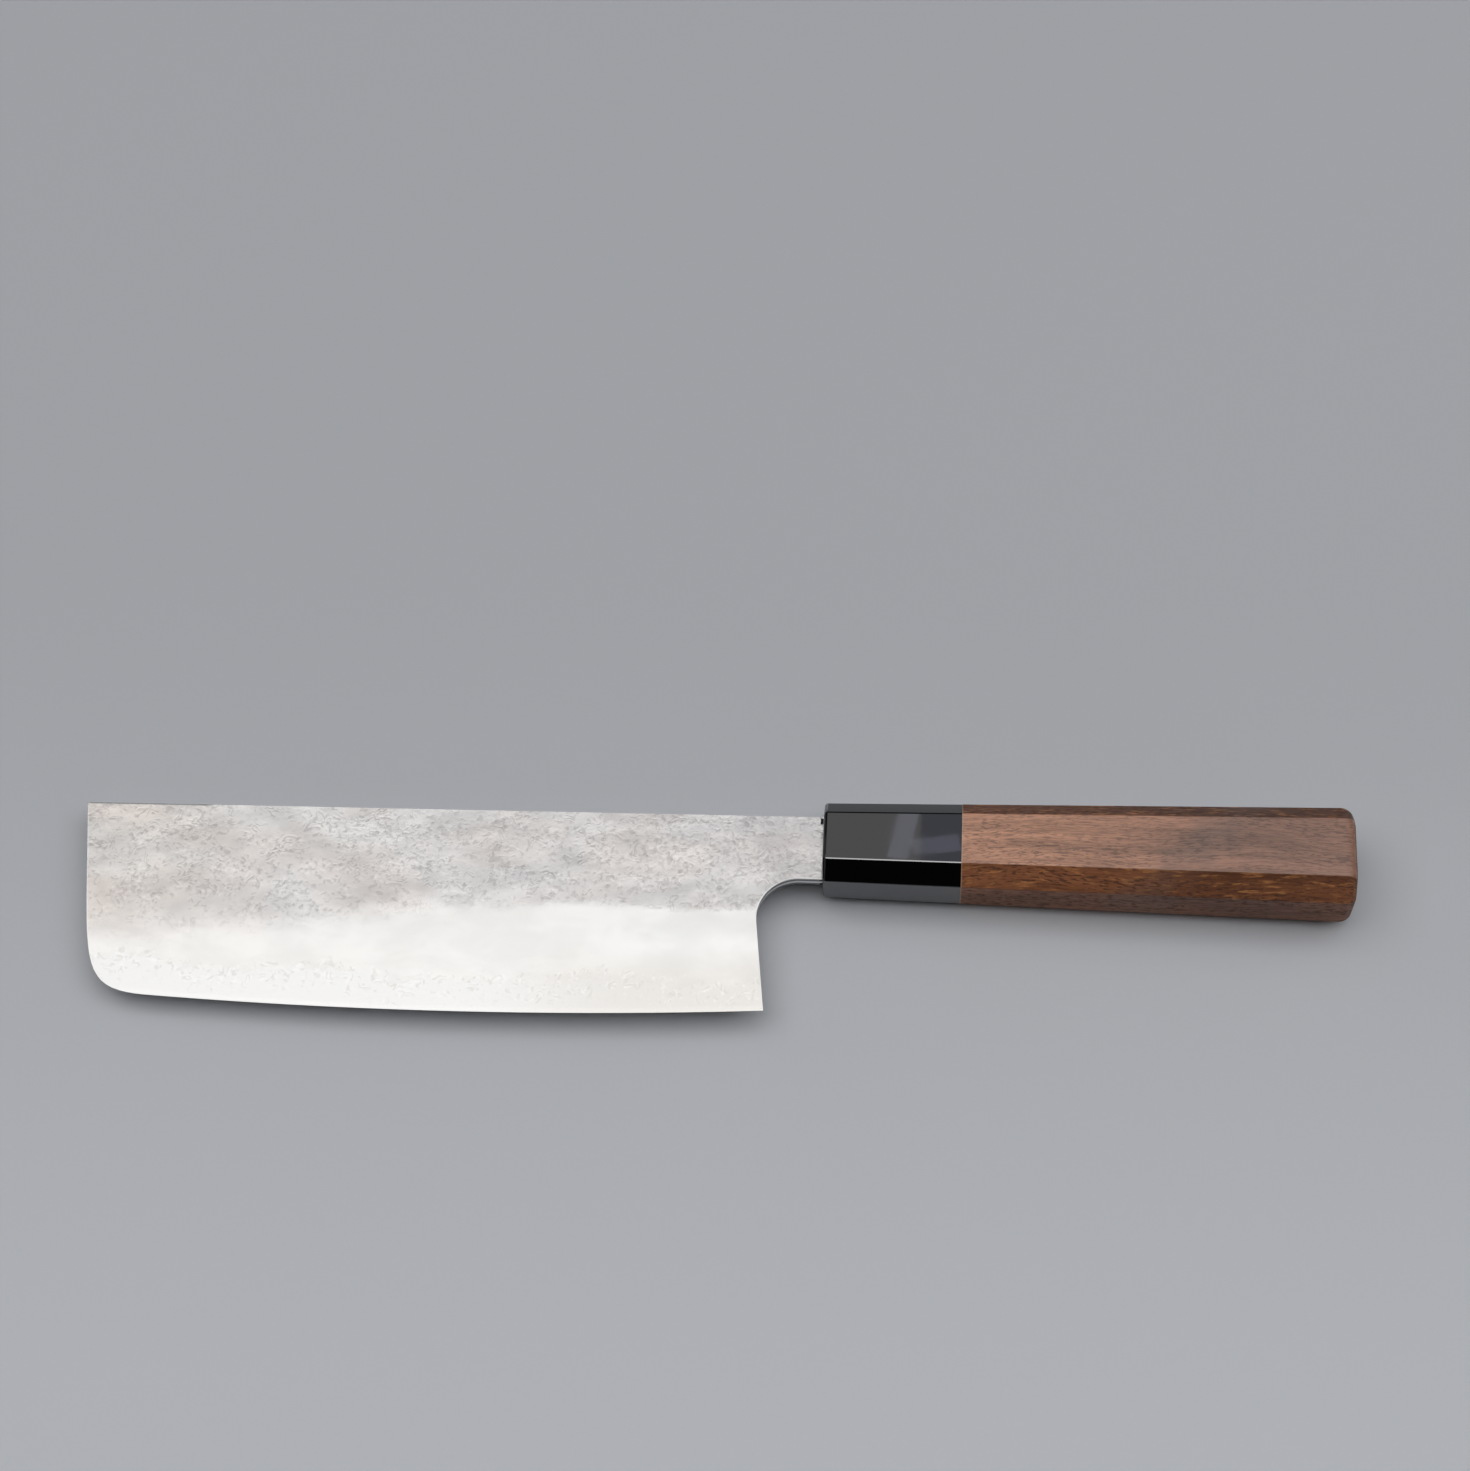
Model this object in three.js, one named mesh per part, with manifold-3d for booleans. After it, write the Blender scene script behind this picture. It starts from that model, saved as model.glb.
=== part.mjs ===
import * as THREE from 'three';
import { mergeVertices } from 'three/addons/utils/BufferGeometryUtils.js';
import Module from 'manifold-3d';

// Nakiri kitchen knife: a blade of three steel layers, its tang bedded in an octagonal handle.
// Millimetres. The knife lies flat with its left side up: X runs from tip to butt,
// Y from cutting edge to spine, Z up. It is drawn about the middle of the ferrule's front
// face, with the blade's middle plane and the handle's axis at Z 0, and moved at the end.

// Blade outline, seen from the side
const bladeLength = 165; // heel corner to tip corner
const heelSetback = 12.4; // heel corner to the ferrule
const heelHeight = 48.7; // spine to heel corner
const spineRise = 7.85; // spine above the handle's axis, at the ferrule
const spineDrop = 1.2; // how far the spine falls from ferrule to tip
const bellyDepth = 2.74; // bow of the cutting edge between heel and tip
const tipRise = 0.28; // cutting edge higher at the tip than at the heel
const tipLean = 7.9; // degrees that the blunt front leans back towards the edge
const tipFaceLength = 20; // straight part of the blunt front
const tipRoundReach = 21; // tip corner to where the rounding runs into the edge
const tipRoundFace = 23.8; // pull of the rounding along the front
const tipRoundEdge = 14.1; // pull of the rounding along the edge
const heelLean = 6.8; // degrees that the heel leans towards the tip
const choilRadius = 9.8; // hollow between heel and neck
const neckHeight = 16.15; // neck where it meets the ferrule
const reliefDepth = 0.6; // small relief cut into the neck's shoulder
const reliefHeight = 1.4;
const reliefDrop = 0.45; // relief below the spine

// Blade section
const neckThickness = 3; // at the spine, at the ferrule
const tipThickness = 1.9; // at the spine, at the tip
const flatTaper = 0.004; // thickness lost on each side per millimetre below the spine
const bevelAngle = 2.45; // degrees on each side, from the shoulder line to the edge
const edgeThickness = 0.3; // behind the honed edge
const honeAngle = 15; // degrees on each side of the honed edge
const spineEase = 0.3; // broken corners of the spine
const coreThickness = 0.94; // hard middle layer
const bladeSteps = 24;

// Tang
const tangLength = 76; // inside the handle
const tangRootWidth = 8;
const tangEndWidth = 4.5;
const tangRootThickness = 2.6;
const tangEndThickness = 1.8;
const tangOverlap = 4; // tang forged into the neck

// Handle, eight sided, growing towards the butt
const handleLength = 123.6; // ferrule and grip together
const ferruleLength = 32.3;
const frontWidth = 20.2; // spine side to edge side
const frontThickness = 17.6;
const frontChamfer = 4.2; // leg of the 45 degree corner facets
const buttWidth = 24.4;
const buttThickness = 20.7;
const buttChamfer = 4.9;
const ferruleEase = 0.6; // rounding round the front face
const buttEase = 2; // rounding round the butt
const buttCrown = 0.5; // bulge of the butt's end
const ferruleWall = 5; // solid front of the ferrule that the tang passes

// Inside the handle
const beddingThickness = 0.6; // resin round the tang
const beddingInset = 1; // resin stops short of the ferrule's front
const dowelWall = 1; // wood left at the corners of the tang's channel
const dowelTail = 6; // dowel past the end of the tang
const dowelSides = 32;

// Clearances
const shoulderGap = 0.3; // neck to ferrule
const bondGap = 0.05; // resin to steel and to wood
const dowelFit = 0.15; // dowel to its bore
const endGap = 0.3; // dowel to the ends of its bore

const wasm = await Module();
wasm.setup();

// A closed three.js geometry as a solid for cutting and joining
function toSolid(geometry) {
  const bare = geometry.clone();
  bare.deleteAttribute('normal');
  bare.deleteAttribute('uv');
  const merged = mergeVertices(bare, 1e-4);
  const vertProperties = new Float32Array(merged.attributes.position.array);
  const triVerts = new Uint32Array(merged.index.array);
  return new wasm.Manifold(new wasm.Mesh({ numProp: 3, vertProperties, triVerts }));
}

function toGeometry(solid) {
  const mesh = solid.getMesh();
  const geometry = new THREE.BufferGeometry();
  geometry.setAttribute('position', new THREE.BufferAttribute(mesh.vertProperties, 3));
  geometry.setIndex(new THREE.BufferAttribute(mesh.triVerts, 1));
  geometry.computeVertexNormals();
  return geometry;
}

// Closed skin over rings of points along X, each ring convex and counted the same way round
function loft(rings) {
  const count = rings[0].length;
  const last = (rings.length - 1) * count;
  const faces = [];
  for (let start = 0; start < last; start += count) {
    for (let i = 0; i < count; i += 1) {
      const a = start + i;
      const b = start + ((i + 1) % count);
      faces.push(a, b, b + count, a, b + count, a + count);
    }
  }
  for (let i = 1; i + 1 < count; i += 1) {
    faces.push(0, i + 1, i);
    faces.push(last, last + i, last + i + 1);
  }
  const geometry = new THREE.BufferGeometry().setFromPoints(rings.flat());
  geometry.setIndex(faces);
  return geometry;
}

function ring(x, outline) {
  return outline.map(([y, z]) => new THREE.Vector3(x, y, z));
}

function rectangle(x, yLow, yHigh, zLow, zHigh) {
  return ring(x, [[yHigh, zLow], [yHigh, zHigh], [yLow, zHigh], [yLow, zLow]]);
}

// The blade's lines
const heelX = -heelSetback;
const heelY = spineRise - heelHeight;
const tipX = heelX - bladeLength;
const neckBottom = spineRise - neckHeight;

function spineY(x) {
  return spineRise - spineDrop * (x / tipX);
}

function edgeY(x) {
  const along = (heelX - x) / bladeLength;
  return heelY + tipRise * along - 4 * bellyDepth * along * (1 - along);
}

// Half thickness on the flat above the shoulder line: one plane on each side of the blade
function flatHalf(x, y) {
  const thinning = (neckThickness - tipThickness) * (x / tipX);
  return (neckThickness - thinning) / 2 - flatTaper * (spineRise - y);
}

const bevelSlope = Math.tan(THREE.MathUtils.degToRad(bevelAngle));
const honeHeight = edgeThickness / 2 / Math.tan(THREE.MathUtils.degToRad(honeAngle));

// Height of the shoulder line, where the bevel runs out into the flat
function shoulderY(x) {
  const bevelFoot = edgeY(x) + honeHeight;
  const missing = flatHalf(x, bevelFoot) - edgeThickness / 2;
  return bevelFoot + missing / (bevelSlope - flatTaper);
}

// Section across the blade: honed edge, bevel, flat and spine with broken corners
function bladeSection(x) {
  const edge = edgeY(x);
  const spine = spineY(x);
  const shoulder = shoulderY(x);
  const half = [
    [edge + honeHeight, edgeThickness / 2],
    [shoulder, flatHalf(x, shoulder)],
    [spine - spineEase, flatHalf(x, spine - spineEase)],
    [spine, flatHalf(x, spine) - spineEase],
  ];
  const right = half.map(([y, z]) => [y, -z]);
  const left = half.slice().reverse();
  return ring(x, [[edge, 0], ...right, ...left]);
}

function groundBlade() {
  const margin = 4;
  const start = tipX - margin;
  const end = -shoulderGap;
  const rings = [];
  for (let i = 0; i <= bladeSteps; i += 1) {
    rings.push(bladeSection(THREE.MathUtils.lerp(start, end, i / bladeSteps)));
  }
  return toSolid(loft(rings));
}

// Outline that trims the ground blade at the front, the heel, the choil and the neck
function bladeOutline() {
  const margin = 6;
  const lean = THREE.MathUtils.degToRad(tipLean);
  const down = new THREE.Vector2(Math.sin(lean), -Math.cos(lean));
  const tipCorner = new THREE.Vector2(tipX, spineY(tipX));
  const above = tipCorner.clone().addScaledVector(down, -margin);
  const faceEnd = tipCorner.clone().addScaledVector(down, tipFaceLength);
  const facePull = faceEnd.clone().addScaledVector(down, tipRoundFace);
  const roundX = tipX + tipRoundReach;
  const roundEnd = new THREE.Vector2(roundX, edgeY(roundX));
  const edgeSlope = edgeY(roundX) - edgeY(roundX - 1);
  const edgePull = roundEnd.clone().addScaledVector(new THREE.Vector2(1, edgeSlope), -tipRoundEdge);
  const floorY = heelY - bellyDepth - margin;

  const back = THREE.MathUtils.degToRad(heelLean);
  const up = new THREE.Vector2(-Math.sin(back), Math.cos(back));
  const heelCorner = new THREE.Vector2(heelX, heelY);
  const hollowY = neckBottom - choilRadius;
  const rise = (hollowY - choilRadius * Math.sin(back) - heelY) / Math.cos(back);
  const heelTop = heelCorner.clone().addScaledVector(up, rise);
  const hollowX = heelTop.x + choilRadius * Math.cos(back);
  const heelLow = heelCorner.clone().addScaledVector(up, -bellyDepth - margin);

  const shape = new THREE.Shape();
  shape.moveTo(above.x, above.y);
  shape.lineTo(faceEnd.x, faceEnd.y);
  shape.bezierCurveTo(facePull.x, facePull.y, edgePull.x, edgePull.y, roundEnd.x, roundEnd.y);
  shape.lineTo(roundEnd.x, floorY);
  shape.lineTo(heelLow.x, heelLow.y);
  shape.lineTo(heelTop.x, heelTop.y);
  shape.absarc(hollowX, hollowY, choilRadius, Math.PI + back, Math.PI / 2, true);
  shape.lineTo(0, neckBottom);
  shape.lineTo(0, spineRise + margin);
  const solid = new THREE.ExtrudeGeometry(shape, {
    depth: 2 * neckThickness,
    bevelEnabled: false,
    curveSegments: 16,
  });
  solid.translate(0, 0, -neckThickness);
  return toSolid(solid);
}

// Small relief in the neck's shoulder, just below the spine
function shoulderRelief() {
  const top = spineRise - reliefDrop;
  const rings = [-shoulderGap - reliefDepth, 0].map((x) => {
    return rectangle(x, top - reliefHeight, top, -neckThickness, neckThickness);
  });
  return toSolid(loft(rings));
}

// Tapered bar on the tang's own lines, grown on every side by a margin
function tangBar(from, to, margin) {
  const rings = [from, to].map((x) => {
    const along = x / tangLength;
    const width = THREE.MathUtils.lerp(tangRootWidth, tangEndWidth, along) / 2 + margin;
    const thickness = THREE.MathUtils.lerp(tangRootThickness, tangEndThickness, along) / 2 + margin;
    return rectangle(x, -width, width, -thickness, thickness);
  });
  return toSolid(loft(rings));
}

// Flat layer of the blade's billet between two heights
function layer(zLow, zHigh) {
  const rings = [tipX - tangLength, handleLength].map((x) => {
    return rectangle(x, -2 * heelHeight, 2 * heelHeight, zLow, zHigh);
  });
  return toSolid(loft(rings));
}

// Section across the handle, drawn in by an even inset
function handleSection(x, along, inset) {
  const width = THREE.MathUtils.lerp(frontWidth, buttWidth, along) / 2 - inset;
  const thickness = THREE.MathUtils.lerp(frontThickness, buttThickness, along) / 2 - inset;
  const chamfer = THREE.MathUtils.lerp(frontChamfer, buttChamfer, along) - inset * (2 - Math.SQRT2);
  const top = width - chamfer;
  const side = thickness - chamfer;
  return ring(x, [
    [width, -side], [width, side], [top, thickness], [-top, thickness],
    [-width, side], [-width, -side], [-top, -thickness], [top, -thickness],
  ]);
}

// Insets and steps of a quarter round edge
function quarterRound(radius, steps) {
  return Array.from({ length: steps + 1 }, (unused, i) => {
    const angle = (Math.PI / 2) * (i / steps);
    return { inset: radius * (1 - Math.cos(angle)), advance: radius * Math.sin(angle) };
  });
}

function ferruleBody() {
  const rings = quarterRound(ferruleEase, 4).reverse().map(({ inset, advance }) => {
    const x = ferruleEase - advance;
    return handleSection(x, x / handleLength, inset);
  });
  rings.push(handleSection(ferruleLength, ferruleLength / handleLength, 0));
  return toSolid(loft(rings));
}

function gripBody() {
  const shoulder = handleLength - buttCrown - buttEase;
  const rings = [handleSection(ferruleLength, ferruleLength / handleLength, 0)];
  quarterRound(buttEase, 6).forEach(({ inset, advance }) => {
    const x = shoulder + advance;
    rings.push(handleSection(x, x / handleLength, inset));
  });
  const rim = rings[rings.length - 1];
  [0.8, 0.6, 0.4, 0.2].forEach((share) => {
    const x = handleLength - buttCrown * share * share;
    rings.push(rim.map((point) => new THREE.Vector3(x, point.y * share, point.z * share)));
  });
  return toSolid(loft(rings));
}

// Round bar along X
function roundBar(from, to, radius) {
  const bar = new THREE.CylinderGeometry(radius, radius, to - from, dowelSides);
  bar.rotateZ(-Math.PI / 2);
  bar.translate((from + to) / 2, 0, 0);
  return toSolid(bar);
}

// Blade: ground and trimmed, joined to its tang, then parted into its three layers
const trimmed = groundBlade().intersect(bladeOutline()).subtract(shoulderRelief());
const blade = trimmed.add(tangBar(-tangOverlap, tangLength, 0));
const coreHalf = coreThickness / 2;
const core = blade.intersect(layer(-coreHalf, coreHalf));
const claddingLeft = blade.intersect(layer(coreHalf, neckThickness));
const claddingRight = blade.intersect(layer(-neckThickness, -coreHalf));

// Dowel that joins ferrule and grip and takes the tang in a tapered channel
const channelWidth = tangRootWidth / 2 + beddingThickness;
const channelThickness = tangRootThickness / 2 + beddingThickness;
const dowelRadius = Math.hypot(channelWidth, channelThickness) + dowelWall;
const boreRadius = dowelRadius + dowelFit;
const dowelEnd = tangLength + dowelTail;
const channel = tangBar(-tangOverlap, tangLength + beddingThickness, beddingThickness);
const dowel = roundBar(ferruleWall + endGap, dowelEnd, dowelRadius).subtract(channel);
const bore = roundBar(ferruleWall, dowelEnd + endGap, boreRadius);

// Resin that fills the channel round the tang
const beddingEnd = tangLength + beddingThickness - bondGap;
const bedding = tangBar(beddingInset, beddingEnd, beddingThickness - bondGap)
  .subtract(tangBar(-tangOverlap, tangLength + bondGap, bondGap));

const ferrule = ferruleBody().subtract(bore).subtract(channel);
const grip = gripBody().subtract(bore);

const knife = new THREE.Group();

function addPiece(name, solid, color, roughness, metalness) {
  const material = new THREE.MeshStandardMaterial({ color, roughness, metalness });
  const mesh = new THREE.Mesh(toGeometry(solid), material);
  mesh.name = name;
  knife.add(mesh);
}

addPiece('blade_core', core, 0xe4e4e1, 0.28, 1);
addPiece('cladding_left', claddingLeft, 0xcbc5c1, 0.45, 1);
addPiece('cladding_right', claddingRight, 0xcbc5c1, 0.45, 1);
addPiece('ferrule', ferrule, 0x0a0a0c, 0.1, 0);
addPiece('grip', grip, 0x83563f, 0.5, 0);
addPiece('dowel', dowel, 0xc9a878, 0.7, 0);
addPiece('tang_bedding', bedding, 0xd9c79a, 0.4, 0);

// Origin under the middle of the whole knife, on the surface it lies on
const box = new THREE.Box3().setFromObject(knife);
const middle = box.getCenter(new THREE.Vector3());
knife.position.set(-middle.x, -middle.y, -box.min.z);

export default knife;
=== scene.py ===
import math
import bmesh
import bpy
from mathutils import Matrix, Vector, noise


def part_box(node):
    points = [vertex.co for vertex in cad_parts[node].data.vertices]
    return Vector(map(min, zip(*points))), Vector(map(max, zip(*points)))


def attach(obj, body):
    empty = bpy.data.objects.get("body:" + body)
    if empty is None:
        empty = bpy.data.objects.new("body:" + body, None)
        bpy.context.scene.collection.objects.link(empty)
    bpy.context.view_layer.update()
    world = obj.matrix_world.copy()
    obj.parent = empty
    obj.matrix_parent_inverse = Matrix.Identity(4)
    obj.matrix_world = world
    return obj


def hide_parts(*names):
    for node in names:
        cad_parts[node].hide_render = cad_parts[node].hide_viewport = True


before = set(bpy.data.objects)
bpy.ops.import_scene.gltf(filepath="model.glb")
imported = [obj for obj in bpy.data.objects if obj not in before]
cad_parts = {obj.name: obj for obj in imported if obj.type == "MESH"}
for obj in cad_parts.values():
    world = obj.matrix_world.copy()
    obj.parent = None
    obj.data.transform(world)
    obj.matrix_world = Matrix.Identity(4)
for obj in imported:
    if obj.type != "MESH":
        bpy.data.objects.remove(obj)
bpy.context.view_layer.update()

# The knife is laid out from the middle of the ferrule's front face.
ferrule_low, ferrule_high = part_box("ferrule")
core_low, core_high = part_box("blade_core")
front_x = ferrule_low.x
axis_y = (ferrule_low.y + ferrule_high.y) / 2
axis_z = core_low.z / 2 + core_high.z / 2

# Blade, in metres.
blade_length = 0.165
heel_setback = 0.0124
heel_height = 0.0487
spine_rise = 0.00785
belly_depth = 0.00274
tip_rise = 0.00028
neck_thickness = 0.003
tip_thickness = 0.0019
flat_taper = 0.004
bevel_slope = math.tan(math.radians(2.45))
hone_slope = math.tan(math.radians(15))
edge_thickness = 0.0003
hone_height = edge_thickness / 2 / hone_slope
core_half = 0.00047
layer_height = (core_half - edge_thickness / 2) / bevel_slope + hone_height
layer_overlap = 0.00005
rim_width = 0.0002
rim_drop = 0.00004
rim_drop_share = 0.4
square_spine = 0.001
shoulder_gap = 0.0003
neck_gap = shoulder_gap / 3
# Distance from the ferrule and height of the shoulder line above the edge, where flat and bevel meet.
shoulder_line = (
    (0.180, 0.0188), (0.154, 0.0192), (0.1305, 0.0206), (0.107, 0.0242), (0.0835, 0.0284),
    (0.060, 0.0277), (0.018, 0.0255), (0.0, 0.0250))
crisp_shoulder = 0.00003
crisp_until = 0.06
soft_shoulder = 0.00015
soft_from = 0.16
smooth_neck = 0.006
tang_length = 0.076
tang_root_thickness = 0.0026
tang_end_thickness = 0.0018
skin_cell = 0.0008
grid_snap = 0.00004
top_row = 0.0516

# Relief of the blade's skin: depths in metres, scales per metre along and across the blade.
hammer_swell = 0.00005
hammer_swell_scale = (42, 75)
hammer_bowl = 0.00004
hammer_bowl_scale = (140, 215)
hammer_bowl_radius = 0.8
hammer_speckle = 0.000008
hammer_speckle_scale = (260, 360)
grinding_swell = 0.000006
grinding_swell_scale = (55, 90)
grinding_ripple = 0.0000025
grinding_ripple_scale = (170, 240)
grinding_fade = 0.00008
# Where the grinding sets in: across the shoulder, in its widths, along the blade and above the edge.
grind_across = (-1.04, 1.56)
grind_along = (-0.177, -0.147)
grind_above = (0.022, 0.012)

# Handle, in metres.
handle_length = 0.1236
ferrule_length = 0.0323
front_width = 0.0202
front_thickness = 0.0176
front_chamfer = 0.0042
butt_width = 0.0244
butt_thickness = 0.0207
butt_chamfer = 0.0049
ferrule_round = 0.0009
near_ridge = 0.00014
far_ridge = 0.0003
slot_half_width = 0.0047
slot_half_thick = 0.0020
slot_squareness = 0.35
slot_depth = 0.004
bore_radius = 0.0052
ferrule_bore_floor = 0.005
grip_bore_depth = 0.052
hole_border = 0.0015
grip_ridge = 0.0004
grip_ridge_points = 5
butt_round = 0.0029
butt_inset = 0.0018
butt_softening = 0.0041
butt_rings = 8
butt_crown = 0.0004
crown_rings = (0.8, 0.6, 0.4, 0.2)


def place(x, y, z):
    """A point of the knife's own layout in the row frame."""
    return Vector((x + front_x, y + axis_y, z + axis_z))


def part_way(value, low, high):
    """How far a value has come from low to high, kept between 0 and 1."""
    return max(0, min(1, (value - low) / (high - low)))


def ease(share):
    """Lets a change start and end gently."""
    return share * share * (3 - 2 * share)


def edge_line(x):
    """Height of the cutting edge along the blade."""
    along = (-heel_setback - x) / blade_length
    return spine_rise - heel_height + tip_rise * along - 4 * belly_depth * along * (1 - along)


def flat_skin(x, y):
    """Half thickness of the blade on its flat."""
    tip_x = -heel_setback - blade_length
    half = (neck_thickness - (neck_thickness - tip_thickness) * x / tip_x) / 2
    return half - flat_taper * (spine_rise - y)


def shoulder_height(x):
    """Height of the shoulder line above the edge."""
    for (far, high), (near, low) in zip(shoulder_line, shoulder_line[1:]):
        if -x >= near:
            return low + (high - low) * ease(part_way(-x, near, far))
    return shoulder_line[-1][1]


def bevel_skin(x, y):
    """Half thickness of the blade on its ground bevel, hollowed or crowned to meet the shoulder line."""
    height = y - edge_line(x)
    half = edge_thickness / 2 + bevel_slope * (height - hone_height)
    if height <= layer_height:
        return half
    rise = shoulder_height(x) - layer_height
    miss = flat_skin(x, y) - core_half - bevel_slope * rise
    return half + miss * ((height - layer_height) / rise) ** 2


def tang_half(x):
    """Half thickness of the tang inside the handle."""
    return (tang_root_thickness - (tang_root_thickness - tang_end_thickness) * x / tang_length) / 2


def pattern_point(x, y, scale, seed):
    """Where a noise pattern is looked up for a point of the blade."""
    return Vector((x * scale[0], y * scale[1], seed))


def hammer_marks(x, y, side):
    """Depth of the shallow bowls left by the hammer on the flat, with seeds for each side."""
    swell = noise.noise(pattern_point(x, y, hammer_swell_scale, side * 7.3))
    strike = noise.voronoi(pattern_point(x, y, hammer_bowl_scale, side * 3.1 + 4))[0][0]
    bowl = 1 - min(1, strike / hammer_bowl_radius) ** 2
    speckle = noise.noise(pattern_point(x, y, hammer_speckle_scale, side * 5.7 + 9))
    return hammer_swell * swell + hammer_bowl * bowl + hammer_speckle * speckle


def grinding_waves(x, y, side):
    """Faint unevenness of the ground bevel, which dies out at the layer line."""
    fade = min(1, abs(bevel_skin(x, y) - core_half) / grinding_fade)
    swell = noise.noise(pattern_point(x, y, grinding_swell_scale, side * 4.1 + 21))
    ripple = noise.noise(pattern_point(x, y, grinding_ripple_scale, side * 2.7 + 33))
    return fade * (grinding_swell * swell + grinding_ripple * ripple)


def soft_least(first, second, width):
    """The smaller of two heights, rounded over where they meet."""
    share = part_way(second - first, -width, width)
    return second + (first - second) * share - width * share * (1 - share)


def shoulder_width(x):
    """How gently flat and bevel meet: crisp near the heel, soft at the tip."""
    return crisp_shoulder + (soft_shoulder - crisp_shoulder) * part_way(-x, crisp_until, soft_from)


def skin(x, y, side):
    """Half thickness of the finished blade above the layer line, without hammer marks by the ferrule."""
    flat = flat_skin(x, y) - part_way(-x, 0, smooth_neck) * hammer_marks(x, y, side)
    bevel = bevel_skin(x, y) + grinding_waves(x, y, side)
    return soft_least(flat, bevel, shoulder_width(x))


def ground_share(x, y, side):
    """0 on the hammered flat, 1 on the ground bevel; the grinding thins out towards the front."""
    gap = flat_skin(x, y) - hammer_marks(x, y, side) - bevel_skin(x, y)
    ground = ease(part_way(gap / shoulder_width(x), *grind_across))
    front = 0.5 + 0.5 * part_way(x, *grind_along)
    low = ease(part_way(y - edge_line(x), *grind_above))
    return ground * max(front, low)


def plan_of_node(node, facing):
    """A CAD node's outline in plan, as one flat face, from a merged copy of its mesh."""
    bm = bmesh.new()
    bm.from_mesh(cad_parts[node].data)
    bmesh.ops.remove_doubles(bm, verts=bm.verts, dist=1e-7)
    others = [f for f in bm.faces if f.normal.z * facing < 0.9]
    bmesh.ops.delete(bm, geom=others, context="FACES")
    for point in bm.verts:
        point.co.z = axis_z
        if abs(point.co.x - front_x + shoulder_gap) < 1e-5:
            point.co.x = front_x - neck_gap
    bmesh.ops.dissolve_faces(bm, faces=bm.faces[:])
    return bm


def split_outline(bm, cell):
    """Divides the outline into short lengths."""
    for edge in bm.edges[:]:
        cuts = int(edge.calc_length() / cell)
        if cuts:
            bmesh.ops.subdivide_edges(bm, edges=[edge], cuts=cuts)


def add_border(bm, widths):
    """Narrow rows of faces along the outline; rim counts its points down, from the outline inwards."""
    border = bm.faces.layers.int.new("border")
    rim = bm.verts.layers.int.new("rim")
    inner = max(bm.faces, key=lambda f: f.calc_area())
    for point in bm.verts:
        point[rim] = len(widths)
    for number, width in enumerate(widths):
        made = bmesh.ops.inset_region(
            bm, faces=[inner], thickness=width, use_boundary=True, use_even_offset=True)
        for face in made["faces"]:
            face[border] = 1
        for point in inner.verts:
            point[rim] = len(widths) - 1 - number


def straighten(bm, amount):
    """Shifts a sheet so that rows along the bowed cutting edge become straight, or back again."""
    for point in bm.verts:
        point.co.y -= amount * edge_line(point.co.x - front_x)


def even_steps(low, high):
    """Levels from low to high, about one cell apart, without the lowest."""
    steps = int((high - low) / skin_cell)
    return [low + (high - low) * step / steps for step in range(1, steps + 1)]


def made_points(result):
    """The points among what an operator made."""
    return [item for item in result["geom"] if isinstance(item, bmesh.types.BMVert)]


def made_faces(result):
    """The faces among what an operator made."""
    return [item for item in result["geom"] if isinstance(item, bmesh.types.BMFace)]


def cut_sheet(bm, axis, levels):
    """Cuts a flat sheet inside its border across one axis, so that it can be shaped."""
    border = bm.faces.layers.int["border"]
    normal = Vector((0, 0, 0))
    normal[axis] = 1
    rest = [f for f in bm.faces if not f[border]]
    for level in levels:
        parts = set(rest)
        for face in rest:
            parts.update(face.edges)
            parts.update(face.verts)
        cut = bmesh.ops.bisect_plane(
            bm, geom=list(parts), plane_co=normal * level, plane_no=normal, dist=grid_snap)
        rest = [f for f in made_faces(cut) if f.calc_center_median()[axis] > level]


def cut_blade_sheet(bm, node, widths, row_levels):
    """Gives a blade layer's sheet its border and its grid, which follows the cutting edge."""
    split_outline(bm, skin_cell)
    straighten(bm, 1)
    add_border(bm, widths)
    cut_sheet(bm, 0, even_steps(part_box(node)[0].x, front_x - neck_gap))
    cut_sheet(bm, 1, [axis_y + level for level in row_levels])
    straighten(bm, -1)


def face_outwards(bm):
    """Turns all faces of a closed mesh outwards."""
    bmesh.ops.recalc_face_normals(bm, faces=bm.faces)
    if bm.calc_volume(signed=True) < 0:
        bmesh.ops.reverse_faces(bm, faces=bm.faces)


def raise_sheet(bm, upper, lower):
    """Turns a sheet into a closed layer between two heights."""
    rim = bm.verts.layers.int["rim"]
    raised = set(made_points(bmesh.ops.extrude_face_region(bm, geom=bm.faces[:])))
    for point in bm.verts:
        height = upper if point in raised else lower
        point.co.z = axis_z + height(point.co.x - front_x, point.co.y - axis_y, point[rim])
    bmesh.ops.remove_doubles(bm, verts=bm.verts, dist=1e-6)
    face_outwards(bm)


def finish_piece(name, bm, material, node, smooth_below):
    """Makes the piece's object and fixes it to the knife."""
    mesh = bpy.data.meshes.new(name)
    bm.to_mesh(mesh)
    bm.free()
    mesh.shade_smooth()
    mesh.set_sharp_from_angle(angle=math.radians(smooth_below))
    piece = bpy.data.objects.new(name, mesh)
    bpy.context.scene.collection.objects.link(piece)
    mesh.materials.append(material)
    even = piece.modifiers.new("even_shading", "WEIGHTED_NORMAL")
    even.keep_sharp = True
    even.weight = 80
    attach(piece, "root")
    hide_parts(node)
    return piece


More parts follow.
